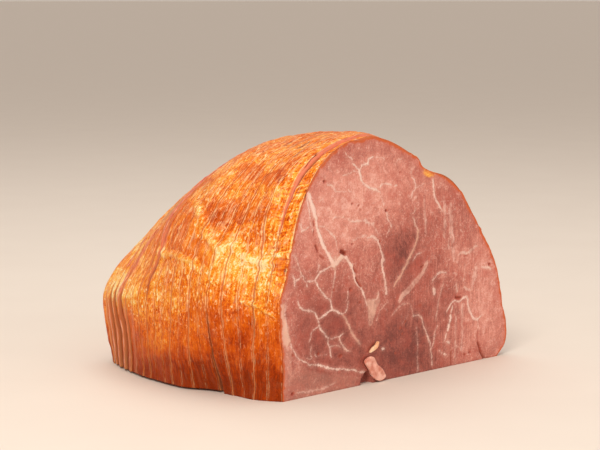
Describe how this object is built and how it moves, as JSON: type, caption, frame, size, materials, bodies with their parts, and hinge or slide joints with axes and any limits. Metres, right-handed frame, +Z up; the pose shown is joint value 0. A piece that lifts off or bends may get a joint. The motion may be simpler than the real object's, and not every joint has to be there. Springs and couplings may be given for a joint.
{
  "type": "cured ham",
  "caption": "Half of a boneless smoked ham, cut through into slices that still stand together, with golden-brown skin and a pink marbled cut face.",
  "frame": {"origin": "under the middle of the whole ham's bounding box, on the surface that it rests on", "axes": "+X along the cut face to the right as it is looked at, +Y from the cut face into the ham, +Z up"},
  "size_m": [0.1908, 0.1462, 0.1276],
  "materials": {
    "smoked_skin": "smoked ham skin, golden to orange-brown, finely netted and moist",
    "cut_meat": "moist pink cured meat with pale fat marbling, semi-gloss"
  },
  "bodies": {
    "root": {"slice_01": "cut_meat", "slice_02": "smoked_skin", "slice_03": "smoked_skin", "slice_04": "smoked_skin", "slice_05": "smoked_skin", "slice_06": "smoked_skin", "slice_07": "smoked_skin", "slice_08": "smoked_skin", "slice_09": "smoked_skin", "slice_10": "smoked_skin", "slice_11": "smoked_skin", "slice_12": "smoked_skin", "slice_13": "smoked_skin", "slice_14": "smoked_skin", "slice_15": "smoked_skin", "slice_16": "smoked_skin", "slice_17": "smoked_skin", "slice_18": "smoked_skin", "slice_19": "smoked_skin", "end_piece": "smoked_skin", "meat_flap": "cut_meat", "fat_chip": "cut_meat"}
  },
  "joints": []
}
